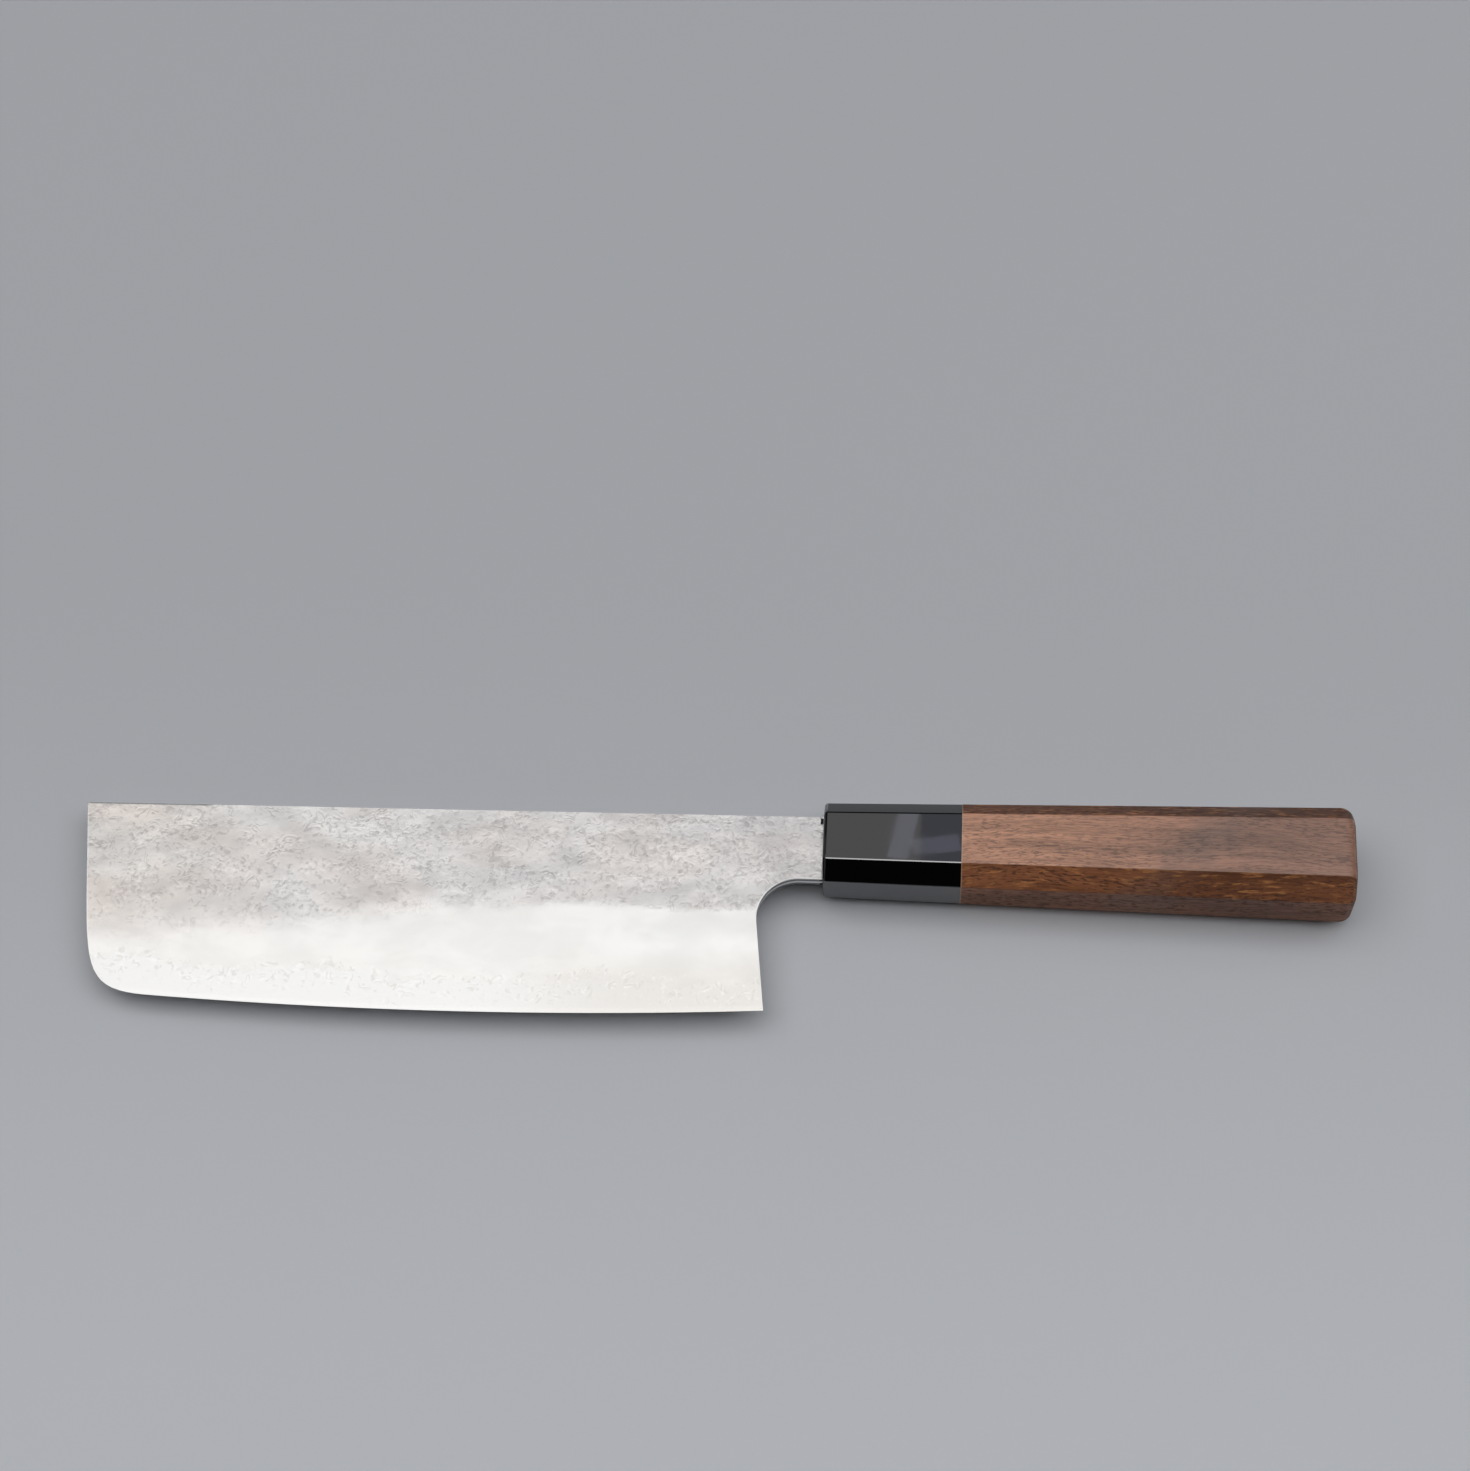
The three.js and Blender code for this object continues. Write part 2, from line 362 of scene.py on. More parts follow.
def write_blade_marks(piece, side):
    """Stores height above the edge, in millimetres, the share of grinding and the polished rim."""
    mesh = piece.data
    marks = ("edge_height", "ground", "polished")
    for name in marks:
        mesh.attributes.new(name, "FLOAT", "POINT")
    height, ground, polished = [mesh.attributes[name].data for name in marks]
    rim = mesh.attributes["rim"].data
    for point in mesh.vertices:
        x = point.co.x - front_x
        y = point.co.y - axis_y
        on_rim = rim[point.index].value > 0 and y < spine_rise - square_spine
        height[point.index].value = (y - edge_line(x)) * 1000
        ground[point.index].value = ground_share(x, y, side)
        polished[point.index].value = int(on_rim)


def make_cladding(name, node, side, material):
    """One soft steel layer: hammered flat, ground bevel and eased rim, with its share of the tang."""
    bm = plan_of_node(node, -side)
    cut_blade_sheet(bm, node, (rim_width, rim_width), even_steps(layer_height, top_row))

    def outside(x, y, rim):
        if x > -neck_gap / 2:
            return side * tang_half(x)
        full = max(skin(x, y, side), core_half)
        eased = rim == 2 and y < spine_rise - square_spine
        return side * (full - eased * min(rim_drop, rim_drop_share * (full - core_half)))

    def inside(x, y, rim):
        return side * core_half

    raise_sheet(bm, outside, inside)
    piece = finish_piece(name, bm, material, node, 50)
    write_blade_marks(piece, side)


def make_core(name, node, material):
    """The hard middle layer: honed edge, bright band below the layer line, and the middle of the tang."""
    bm = plan_of_node(node, 1)
    rows = even_steps(hone_height, layer_height) + [layer_height + layer_overlap]
    cut_blade_sheet(bm, node, (rim_width, hone_height - rim_width), rows)

    def half(x, y, side):
        hone = hone_slope * max(0, y - edge_line(x))
        return min(core_half, hone, bevel_skin(x, y) + grinding_waves(x, y, side))

    raise_sheet(bm, lambda x, y, rim: half(x, y, 1), lambda x, y, rim: -half(x, y, -1))
    piece = finish_piece(name, bm, material, node, 30)
    write_blade_marks(piece, 1)


def fit_ring(bm, points, x, inset, ridge_radius, per_ridge):
    """Moves a ring of points onto the handle's section at x, drawn in evenly, with rounded ridges."""
    number = bm.verts.layers.int["number"]
    share = x / handle_length
    half_width = (front_width + (butt_width - front_width) * share) / 2
    half_thick = (front_thickness + (butt_thickness - front_thickness) * share) / 2
    chamfer = front_chamfer + (butt_chamfer - front_chamfer) * share
    slanted = (half_width + half_thick - chamfer) / math.sqrt(2)
    reach = [half_width, slanted, half_thick, slanted] * 2
    for point in points:
        facet, step = divmod(point[number], per_ridge)
        first = reach[facet] - inset - ridge_radius
        second = reach[(facet + 1) % 8] - inset - ridge_radius
        beside = second * math.sqrt(2) - first
        turn = facet * math.pi / 4
        across = first * math.cos(turn) - beside * math.sin(turn)
        up = first * math.sin(turn) + beside * math.cos(turn)
        turn += step / max(1, per_ridge - 1) * math.pi / 4
        point.co = place(x, across + ridge_radius * math.cos(turn), up + ridge_radius * math.sin(turn))


def face_at(bm, x, direction):
    """The largest face that looks along the handle at x."""
    found = []
    for face in bm.faces:
        here = abs(face.calc_center_median().x - front_x - x) < 1e-5
        if here and face.normal.x * direction > 0.99:
            found.append(face)
    return max(found, key=lambda f: f.calc_area())


def eight_sided_bar(start, end, ridge_radius, per_ridge):
    """A tapered bar with the handle's section, whose points are numbered round each ring."""
    bm = bmesh.new()
    number = bm.verts.layers.int.new("number")
    count = 8 * per_ridge
    turn = Matrix.Translation(place(start, 0, 0)) @ Matrix.Rotation(math.pi / 2, 4, "Y")
    turn = turn @ Matrix.Rotation(math.pi / count, 4, "Z")
    bmesh.ops.create_circle(bm, cap_ends=True, segments=count, radius=front_width / 2, matrix=turn)
    for point in bm.verts:
        angle = math.atan2(point.co.z - axis_z, point.co.y - axis_y) % (2 * math.pi)
        point[number] = int(angle / (2 * math.pi) * count)
    fit_ring(bm, bm.verts, start, 0, ridge_radius, per_ridge)
    far_end = bmesh.ops.extrude_face_region(bm, geom=bm.faces[:])
    fit_ring(bm, made_points(far_end), end, 0, ridge_radius, per_ridge)
    face_outwards(bm)
    return bm


def carry_on(bm, face):
    """Extrudes an end face and gives back the new one."""
    new_face = made_faces(bmesh.ops.extrude_face_region(bm, geom=[face]))[0]
    bmesh.ops.delete(bm, geom=[face], context="FACES_ONLY")
    return new_face


def round_over(bm, edges, radius, segments):
    """Eases edges with a round."""
    bmesh.ops.bevel(
        bm, geom=edges, offset=radius, offset_type="OFFSET", segments=segments,
        profile=0.5, affect="EDGES", material=-1, clamp_overlap=True)
    bm.normal_update()


def ridges(bm):
    """The long edges between the handle's facets."""
    return [e for e in bm.edges if abs((e.verts[0].co - e.verts[1].co).normalized().x) > 0.99]


def shape_hole(face, half_width, half_thick, squareness):
    """Spreads a face's points evenly round a hole's outline, from a circle to nearly a rectangle."""
    points = face.verts[:]
    step = math.copysign(2 * math.pi / len(points), face.normal.x)
    leads = []
    for number, point in enumerate(points):
        leads.append(math.atan2(point.co.z - axis_z, point.co.y - axis_y) - step * number)
    start = math.atan2(sum(math.sin(lead) for lead in leads), sum(math.cos(lead) for lead in leads))
    for number, point in enumerate(points):
        angle = start + step * number
        across = math.copysign(abs(math.cos(angle)) ** squareness, math.cos(angle))
        up = math.copysign(abs(math.sin(angle)) ** squareness, math.sin(angle))
        point.co.y = axis_y + half_width * across
        point.co.z = axis_z + half_thick * up


def sink_hole(bm, face, half_width, half_thick, squareness, depth):
    """Sinks a hole into a face along the handle and gives back its floor."""
    bmesh.ops.inset_region(bm, faces=[face], thickness=hole_border, use_even_offset=True)
    shape_hole(face, half_width, half_thick, squareness)
    floor = carry_on(bm, face)
    for point in floor.verts:
        point.co.x += depth
    return floor


def make_ferrule(material):
    """Polished eight-sided collar with eased ridges, a slot for the tang and a bore for the dowel."""
    bm = eight_sided_bar(0, ferrule_length, 0, 1)
    round_over(bm, face_at(bm, 0, -1).edges[:], ferrule_round, 3)
    near_side = [e for e in ridges(bm) if e.verts[0].co.y < axis_y]
    round_over(bm, near_side, near_ridge, 1)
    far_side = [e for e in ridges(bm) if e.verts[0].co.y > axis_y]
    round_over(bm, far_side, far_ridge, 2)
    back = face_at(bm, ferrule_length, 1)
    bore = sink_hole(bm, back, bore_radius, bore_radius, 1, ferrule_bore_floor - ferrule_length)
    front = face_at(bm, 0, -1)
    slot = sink_hole(bm, front, slot_half_width, slot_half_thick, slot_squareness, slot_depth)
    loops = bore.edges[:] + slot.edges[:]
    bmesh.ops.delete(bm, geom=[bore, slot], context="FACES_ONLY")
    bmesh.ops.bridge_loops(bm, edges=loops)
    face_outwards(bm)
    finish_piece("ferrule_collar", bm, material, "ferrule", 20)


def make_grip(material):
    """Eight-sided wooden grip whose ridges soften into a rounded butt, with a blind bore."""
    cap_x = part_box("grip")[1].x - front_x - butt_crown
    bm = eight_sided_bar(ferrule_length, cap_x - butt_round, grip_ridge, grip_ridge_points)
    cap = face_at(bm, cap_x - butt_round, 1)
    for ring in range(1, butt_rings + 1):
        angle = ring / butt_rings * math.pi / 2
        drawn_in = 1 - math.cos(angle)
        x = cap_x - butt_round * (1 - math.sin(angle))
        softened = grip_ridge + butt_softening * drawn_in
        cap = carry_on(bm, cap)
        fit_ring(bm, cap.verts, x, butt_inset * drawn_in, softened, grip_ridge_points)
    reached = 1.0
    for share in crown_rings:
        cap = carry_on(bm, cap)
        for point in cap.verts:
            point.co.x = front_x + cap_x + butt_crown * (1 - share * share)
            point.co.y = axis_y + (point.co.y - axis_y) * share / reached
            point.co.z = axis_z + (point.co.z - axis_z) * share / reached
        reached = share
    sink_hole(bm, face_at(bm, ferrule_length, -1), bore_radius, bore_radius, 1, grip_bore_depth)
    face_outwards(bm)
    finish_piece("walnut_grip", bm, material, "grip", 20)


def add(tree, kind, sockets=None, **settings):
    """Adds a node with its settings, links and values."""
    made = tree.nodes.new(kind)
    for key, value in settings.items():
        setattr(made, key, value)
    for key, value in (sockets or {}).items():
        if isinstance(value, bpy.types.NodeSocket):
            tree.links.new(value, made.inputs[key])
        else:
            made.inputs[key].default_value = value
    return made


def feed(tree, node, values):
    """Links values to a node's named inputs."""
    for socket, value in values.items():
        tree.links.new(value, node.inputs[socket])


def calculate(tree, operation, first, second=0.0, limit=False):
    """A Math node on one or two values."""
    sockets = {0: first, 1: second}
    return add(tree, "ShaderNodeMath", sockets, operation=operation, use_clamp=limit).outputs[0]


def times(tree, first, second, limit=False):
    """The product of two values."""
    return calculate(tree, "MULTIPLY", first, second, limit)


def plus(tree, first, second):
    """The sum of two values."""
    return calculate(tree, "ADD", first, second)


def minus(tree, first, second):
    """The difference of two values."""
    return calculate(tree, "SUBTRACT", first, second)


def off_middle(tree, value, middle):
    """Distance of a value from a middle, to either side."""
    return calculate(tree, "ABSOLUTE", minus(tree, value, middle))


def spread(tree, value, low, high, to_low=0.0, to_high=1.0):
    """Stretches a range of a value smoothly onto another."""
    sockets = {"Value": value, "From Min": low, "From Max": high, "To Min": to_low, "To Max": to_high}
    return add(tree, "ShaderNodeMapRange", sockets, interpolation_type="SMOOTHSTEP").outputs[0]


def blend(tree, share, first, second, kind="MIX"):
    """Mixes two colours."""
    made = add(tree, "ShaderNodeMix", {0: share, 6: first, 7: second}, data_type="RGBA", blend_type=kind)
    return made.outputs[2]


def tinted(tree, colour, tint):
    """A colour multiplied by another."""
    return blend(tree, 1.0, colour, tint, "MULTIPLY")


def cloud(tree, where, scale, detail=2.0, rough=0.5, twist=0.0):
    """A noise value."""
    sockets = {"Vector": where, "Scale": scale, "Detail": detail, "Roughness": rough, "Distortion": twist}
    return add(tree, "ShaderNodeTexNoise", sockets).outputs[0]


def on_piece(tree):
    """A piece's own coordinates, which are the row frame's."""
    return add(tree, "ShaderNodeTexCoord").outputs["Object"]


def stretched(tree, where, scale, turn=(0, 0, 0), shift=(0, 0, 0)):
    """Coordinates stretched, turned and shifted by a Mapping node."""
    sockets = {"Vector": where, "Location": shift, "Rotation": turn, "Scale": scale}
    return add(tree, "ShaderNodeMapping", sockets).outputs[0]


def separate(tree, vector):
    """The three values of a vector."""
    return add(tree, "ShaderNodeSeparateXYZ", {0: vector}).outputs


def stored_mark(tree, name):
    """A value stored on the piece's mesh."""
    return add(tree, "ShaderNodeAttribute", attribute_name=name).outputs["Fac"]


def add_relief(tree, shader, height, strength, distance):
    """Fine relief on a surface."""
    bump = add(tree, "ShaderNodeBump", {"Strength": strength, "Distance": distance, "Height": height})
    feed(tree, shader, {"Normal": bump.outputs[0]})


def new_group(name, inputs, outputs):
    """An empty node group with named sockets."""
    tree = bpy.data.node_groups.new(name, "ShaderNodeTree")
    for socket, value in inputs.items():
        made = tree.interface.new_socket(socket, in_out="INPUT", socket_type="NodeSocketFloat")
        made.default_value = value
    for socket in outputs:
        tree.interface.new_socket(socket, in_out="OUTPUT", socket_type="NodeSocketFloat")
    return tree, add(tree, "NodeGroupInput"), add(tree, "NodeGroupOutput")


def use_group(tree, group, values):
    """Places a node group in a material with its own values."""
    made = tree.nodes.new("ShaderNodeGroup")
    made.node_tree = group
    for socket, value in values.items():
        made.inputs[socket].default_value = value
    return made


def new_material(name):
    """A material with its node tree and its shader."""
    material = bpy.data.materials.new(name)
    material.use_nodes = True
    tree = material.node_tree
    return material, tree, tree.nodes["Principled BSDF"]


def steel_skin_group():
    """Clouds and warm patches of forged steel, with pear-skin grain and curled ripples about zero."""
    tree, taken, given = new_group(
        "steel_skin", {"Roughening": 1.0}, ["Cloud", "Warmth", "Grain", "Ripples"])
    where = on_piece(tree)
    patches = cloud(tree, stretched(tree, where, (0.75, 1.3, 1)), 105, 3, 0.5, 0.4)
    warmth = cloud(tree, stretched(tree, where, (0.6, 1.4, 1), shift=(3, 1, 0)), 60, 2, 0.5)
    cluster = cloud(tree, stretched(tree, where, (0.8, 1.3, 1), shift=(7, 2, 0)), 150, 2, 0.55)
    specks = cloud(tree, stretched(tree, where, (0.92, 0.95, 1)), 880, 2, 0.65)
    specks = spread(tree, specks, 0.3, 0.7, -1.0, 1.0)
    grain = times(tree, specks, spread(tree, cluster, 0.32, 0.60, 0.25, 1.0))
    swirl = cloud(tree, stretched(tree, where, (0.95, 0.95, 1)), 300, 1.5, 0.5, 1.0)
    lines = calculate(tree, "SINE", times(tree, swirl, 28.0))
    broken = cloud(tree, stretched(tree, where, (1, 1, 1), shift=(1, 5, 0)), 480, 1, 0.5)
    ripples = times(tree, lines, spread(tree, broken, 0.42, 0.60))
    feed(tree, given, {
        "Cloud": spread(tree, patches, 0.3, 0.7),
        "Warmth": spread(tree, warmth, 0.35, 0.65),
        "Grain": times(tree, grain, taken.outputs["Roughening"]),
        "Ripples": times(tree, ripples, taken.outputs["Roughening"])})
    return tree


def layer_line_group():
    """The wavy line where the core comes out of the bevel, from the height above the edge."""
    tree, taken, given = new_group("layer_line", {"Waviness": 1.0}, ["Below", "Line", "Near"])
    where = on_piece(tree)
    long_wave = cloud(tree, stretched(tree, where, (1, 0.4, 0)), 60, 1)
    long_wave = spread(tree, long_wave, 0.2, 0.8, -2.6, 2.6)
    short_wave = cloud(tree, stretched(tree, where, (1, 0.8, 0)), 420, 3, 0.65)
    short_wave = spread(tree, short_wave, 0.2, 0.8, -1.6, 1.6)
    waves = times(tree, plus(tree, long_wave, short_wave), taken.outputs["Waviness"])
    level = plus(tree, minus(tree, stored_mark(tree, "edge_height"), 7.6), waves)
    distance = calculate(tree, "ABSOLUTE", level)
    fading_up = spread(tree, level, 4.0, 0.0)
    fading_down = spread(tree, level, -8.0, -1.5, 0.3, 1.0)
    feed(tree, given, {
        "Below": spread(tree, level, 0.5, -0.9),
        "Line": spread(tree, distance, 0.32, 0.05),
        "Near": times(tree, fading_up, fading_down)})
    return tree


def hammered_colour(tree, forged, height, along):
    """Colour of the flat: cloudy and warm in patches, with painted shade low down, darker by the neck, and
    painted shade and painted glints on its fine pits, specks and ripples.
    """
    grain = forged.outputs["Grain"]
    steel = blend(tree, forged.outputs["Warmth"], (0.705, 0.695, 0.688, 1), (0.714, 0.676, 0.656, 1))
    steel = blend(tree, forged.outputs["Cloud"], tinted(tree, steel, (0.83, 0.83, 0.835, 1)), steel)
    warmed = tinted(tree, steel, (1.01, 0.99, 0.965, 1))
    steel = blend(tree, spread(tree, along, front_x - 0.12, front_x - 0.165), steel, warmed)
    darker = tinted(tree, steel, (0.92, 0.915, 0.915, 1))
    # Painted shade: the flat is darker low down, towards the shoulder.
    steel = blend(tree, spread(tree, height, 44, 24), steel, darker)
    steel = blend(tree, spread(tree, along, front_x - 0.035, front_x - 0.008), steel, darker)
    # Painted shade in the pits and on the low side of the ripples, and painted glints on the raised specks,
    # all following the relief.
    painted_pit_and_ripple_shade = (0.30, 0.285, 0.275, 1)
    painted_glint = (0.83, 0.82, 0.81, 1)
    steel = blend(tree, spread(tree, grain, -0.15, -1.0, 0.0, 0.37), steel, painted_pit_and_ripple_shade)
    steel = blend(tree, spread(tree, grain, 0.35, 1.0, 0.0, 0.25), steel, painted_glint)
    return blend(tree, spread(tree, forged.outputs["Ripples"], -0.2, -1.0, 0.0, 0.32), steel, painted_pit_and_ripple_shade)


def ground_colour(tree, forged, layer, height, along):
    """Colour of the bevel: bright satin, warmer at the heel, with faint curls where the core comes out,
    given painted shade and painted highlights.
    """
    steel = blend(tree, forged.outputs["Warmth"], (0.725, 0.720, 0.712, 1), (0.725, 0.712, 0.694, 1))
    steel = blend(tree, forged.outputs["Cloud"], tinted(tree, steel, (0.92, 0.92, 0.92, 1)), steel)
    steel = blend(tree, layer.outputs["Below"], steel, (0.690, 0.686, 0.678, 1))
    heel = times(tree, spread(tree, along, front_x - 0.085, front_x - 0.04), spread(tree, height, 18, 8))
    steel = blend(tree, heel, steel, tinted(tree, steel, (0.92, 0.90, 0.87, 1)))
    curls = plus(tree, times(tree, forged.outputs["Grain"], 0.5), forged.outputs["Ripples"])
    curls = times(tree, curls, layer.outputs["Near"])
    # Painted shade on the low side of the curls and painted highlight on their high side, following their
    # relief.
    steel = blend(tree, spread(tree, curls, -0.1, -1.1, 0.0, 0.5), steel, (0.55, 0.53, 0.50, 1))
    steel = blend(tree, spread(tree, curls, 0.25, 1.1, 0.0, 0.3), steel, (0.80, 0.79, 0.78, 1))
    return blend(tree, times(tree, layer.outputs["Line"], 0.12), steel, (0.56, 0.53, 0.50, 1))


def blade_steel(name, skin_group, line_group, roughening, painted_neck_wall):
    """A blade layer's steel: pear-skin flat, satin bevel and rim, and a painted tone on the wall below the
    neck.
    """
    material, tree, shader = new_material(name)
    forged = use_group(tree, skin_group, {"Roughening": roughening})
    layer = use_group(tree, line_group, {"Waviness": 1.0})
    height = stored_mark(tree, "edge_height")
    ground = stored_mark(tree, "ground")
    along = separate(tree, on_piece(tree))[0]
    flat = hammered_colour(tree, forged, height, along)
    bevel = ground_colour(tree, forged, layer, height, along)
    steel = blend(tree, ground, flat, bevel)
    steel = blend(tree, stored_mark(tree, "polished"), steel, bevel)
    facing = separate(tree, add(tree, "ShaderNodeNewGeometry").outputs["Normal"])[1]
    # Painted tone on the wall below the neck, facing the table: painted shade on the claddings, a painted
    # highlight on the core.
    painted_wall_share = times(tree, spread(tree, facing, -0.03, -0.15), spread(tree, height, 16, 20))
    feed(tree, shader, {
        "Base Color": blend(tree, painted_wall_share, steel, painted_neck_wall),
        "Roughness": spread(tree, ground, 0, 1, 0.27, 0.26)})
    depth = times(tree, spread(tree, height, 22, 38, 0.5, 1.0), spread(tree, ground, 0, 1, 1.0, 0.0))
    depth = plus(tree, depth, times(tree, layer.outputs["Near"], 0.5))
    relief = times(tree, plus(tree, forged.outputs["Grain"], forged.outputs["Ripples"]), depth)
    add_relief(tree, shader, relief, 1.0, 0.000005)
    shader.inputs["Metallic"].default_value = 1.0
    return material


def black_polish():
    """Deep black gloss with the faint cloudiness and hairlines of hand polish, with painted light on the
    side facets standing in for their reflection of the table.
    """
    material, tree, shader = new_material("black_polish")
    where = on_piece(tree)
    split = separate(tree, where)
    haze = cloud(tree, where, 140, 3, 0.55)
    hair = cloud(tree, stretched(tree, where, (60, 2400, 2400)), 1, 2, 0.6)
    across = off_middle(tree, split[1], axis_y)
    up = off_middle(tree, split[2], axis_z)
    sides = times(tree, spread(tree, across, 0.0096, 0.0099), spread(tree, up, 0.0048, 0.0045))
    black = blend(tree, haze, (0.0010, 0.0010, 0.0012, 1), (0.0022, 0.0021, 0.0026, 1))
    # Painted light: the side facets are grey, standing in for their reflection of the table.
    painted_side_light = blend(tree, haze, (0.078, 0.078, 0.084, 1), (0.098, 0.098, 0.105, 1))
    worn = spread(tree, haze, 0.3, 0.7, 0.015, 0.03)
    hairlines = spread(tree, hair, 0.6, 0.75, 0.0, 0.03)
    feed(tree, shader, {
        "Base Color": blend(tree, sides, black, painted_side_light),
        "Roughness": plus(tree, worn, hairlines)})
    add_relief(tree, shader, haze, 0.05, 0.00002)
    shader.inputs["IOR"].default_value = 1.6
    return material


def wood_grain_group():
    """Growth figure, fine fibre, open pores and flecks, drawn out along the handle."""
    tree, taken, given = new_group(
        "wood_grain", {"Pore Share": 1.0}, ["Figure", "Fibre", "Pores", "Flecks"])
    where = on_piece(tree)
    bend = add(tree, "ShaderNodeTexNoise", {"Vector": where, "Scale": 22.0, "Detail": 1.0}).outputs["Color"]
    bent = blend(tree, 0.006, where, bend, "ADD")
    figure = cloud(tree, stretched(tree, bent, (22, 260, 160)), 1, 3, 0.55)
    fibre = cloud(tree, stretched(tree, bent, (150, 2300, 1500)), 1, 3, 0.6)
    pores = cloud(tree, stretched(tree, bent, (560, 2900, 1700)), 1, 1, 0.5)
    flecks = cloud(tree, stretched(tree, bent, (210, 1300, 1000), shift=(5, 3, 8)), 1, 3, 0.6)
    fewer = cloud(tree, stretched(tree, bent, (40, 330, 240), shift=(4, 9, 2)), 1, 2)
    fewer = spread(tree, fewer, 0.30, 0.55, 0.25, 1.0)
    pores = times(tree, spread(tree, pores, 0.53, 0.61), fewer)
    feed(tree, given, {
        "Figure": spread(tree, figure, 0.3, 0.7),
        "Fibre": spread(tree, fibre, 0.3, 0.7),
        "Pores": times(tree, pores, taken.outputs["Pore Share"], True),
        "Flecks": spread(tree, flecks, 0.52, 0.68)})
    return tree


def beside_broad_facets(tree, split):
    """0 on the grip's upper and lower facets, 1 on all others, parted along the widening ridges."""
    ridge_y = front_width / 2 - front_chamfer
    widening = (butt_width / 2 - butt_chamfer - ridge_y) / handle_length
    widened = times(tree, minus(tree, split[0], front_x), widening)
    offset = minus(tree, off_middle(tree, split[1], axis_y), widened)
    return spread(tree, offset, ridge_y - 0.0001, ridge_y + 0.0002)


def dark_streak(tree, where):
    """A dark streak that crosses the grip at a slant, with a wavering edge."""
    slanted = stretched(tree, where, (1, 1, 1), turn=(0, 0, math.radians(48)))
    waver = spread(tree, cloud(tree, where, 120, 2), 0.2, 0.8, -0.003, 0.003)
    slant = plus(tree, separate(tree, slanted)[0], waver)
    return times(tree, spread(tree, slant, 0.0575, 0.0630), spread(tree, slant, 0.0715, 0.0655))


def oiled_walnut(grain_group):
    """Oiled walnut: lighter by the ferrule, greyer brown by the butt, with a dark streak, a dark end partly
    from end grain and partly painted shade, painted shade on the chamfers, sides and back, and a painted
    highlight at the joint.
    """
    material, tree, shader = new_material("oiled_walnut")
    joint_x = front_x + ferrule_length
    butt_x = front_x + handle_length
    where = on_piece(tree)
    split = separate(tree, where)
    along = split[0]
    grain = use_group(tree, grain_group, {"Pore Share": 1.0})
    fibre = grain.outputs["Fibre"]
    pores = grain.outputs["Pores"]
    beside = beside_broad_facets(tree, split)

    wood = blend(tree, grain.outputs["Figure"], (0.435, 0.190, 0.096, 1), (0.825, 0.380, 0.216, 1))
    wood = blend(tree, spread(tree, fibre, 0, 0.6, 0.38, 0.0), wood, (0.180, 0.070, 0.034, 1))
    wood = blend(tree, spread(tree, fibre, 0.6, 1, 0.0, 0.3), wood, (0.80, 0.42, 0.24, 1))
    greyer_to_butt = times(tree, spread(tree, along, 0.070, 0.135), spread(tree, beside, 0, 1, 1.0, 0.5))
    wood = blend(tree, greyer_to_butt, wood, tinted(tree, wood, (0.53, 0.53, 0.57, 1)))
    # Painted shade: the chamfers and sides are darker than the top facet.
    wood = blend(tree, beside, wood, tinted(tree, wood, (0.415, 0.325, 0.24, 1)))
    # Painted shade: the facets at the back are darkened halfway towards black.
    back = spread(tree, split[1], axis_y + 0.0055, axis_y + 0.0065, 0.0, 0.5)
    wood = blend(tree, times(tree, beside, back), wood, (0.04, 0.012, 0.004, 1))
    # Light flecks, strongest on the upper chamfers: partly wood figure, partly painted glints.
    upper = spread(tree, split[2], axis_z + 0.0046, axis_z + 0.0054)
    fleck_and_glint_share = spread(tree, times(tree, beside, upper), 0, 1, 0.05, 0.75)
    flecks = times(tree, grain.outputs["Flecks"], fleck_and_glint_share)
    wood = blend(tree, flecks, wood, (0.56, 0.235, 0.080, 1))
    wood = blend(tree, times(tree, dark_streak(tree, where), 0.4), wood, (0.17, 0.10, 0.075, 1))
    opened = times(tree, pores, spread(tree, beside, 0, 1, 0.52, 0.75))
    wood = blend(tree, opened, wood, (0.070, 0.026, 0.012, 1))
    # The butt's end: darker end grain, and painted shade on its rounding.
    end_grain_and_shade = spread(tree, along, butt_x - 0.0010, butt_x - 0.0004)
    wood = blend(tree, times(tree, end_grain_and_shade, 0.8), wood, (0.075, 0.030, 0.014, 1))
    # Painted highlight: a thin light line along the grip's front edge at the joint.
    joint_highlight = spread(tree, along, joint_x + 0.00035, joint_x + 0.0001, 0.0, 0.45)
    wood = blend(tree, joint_highlight, wood, (0.62, 0.44, 0.33, 1))

    matt = calculate(tree, "MAXIMUM", beside, end_grain_and_shade)
    rough = plus(tree, spread(tree, fibre, 0, 1, 0.38, 0.29), times(tree, pores, 0.2))
    rough = plus(tree, rough, times(tree, matt, 0.15))
    feed(tree, shader, {
        "Base Color": wood,
        "Roughness": rough,
        "Coat Weight": spread(tree, matt, 0, 1, 1.0, 0.05)})
    add_relief(tree, shader, minus(tree, times(tree, fibre, 0.25), pores), 0.6, 0.00005)
    shader.inputs["Specular IOR Level"].default_value = 0.4
    shader.inputs["Coat Roughness"].default_value = 0.35
    shader.inputs["Coat IOR"].default_value = 1.6
    return material


def plain_dowel_wood(grain_group):
    """Pale turned wood."""
    material, tree, shader = new_material("plain_dowel_wood")
    grain = use_group(tree, grain_group, {"Pore Share": 0.3})
    wood = blend(tree, grain.outputs["Figure"], (0.44, 0.27, 0.12, 1), (0.56, 0.37, 0.19, 1))
    wood = blend(tree, times(tree, grain.outputs["Pores"], 0.5), wood, (0.2, 0.11, 0.05, 1))
    feed(tree, shader, {
        "Base Color": wood,
        "Roughness": spread(tree, grain.outputs["Fibre"], 0, 1, 0.62, 0.5)})
    return material


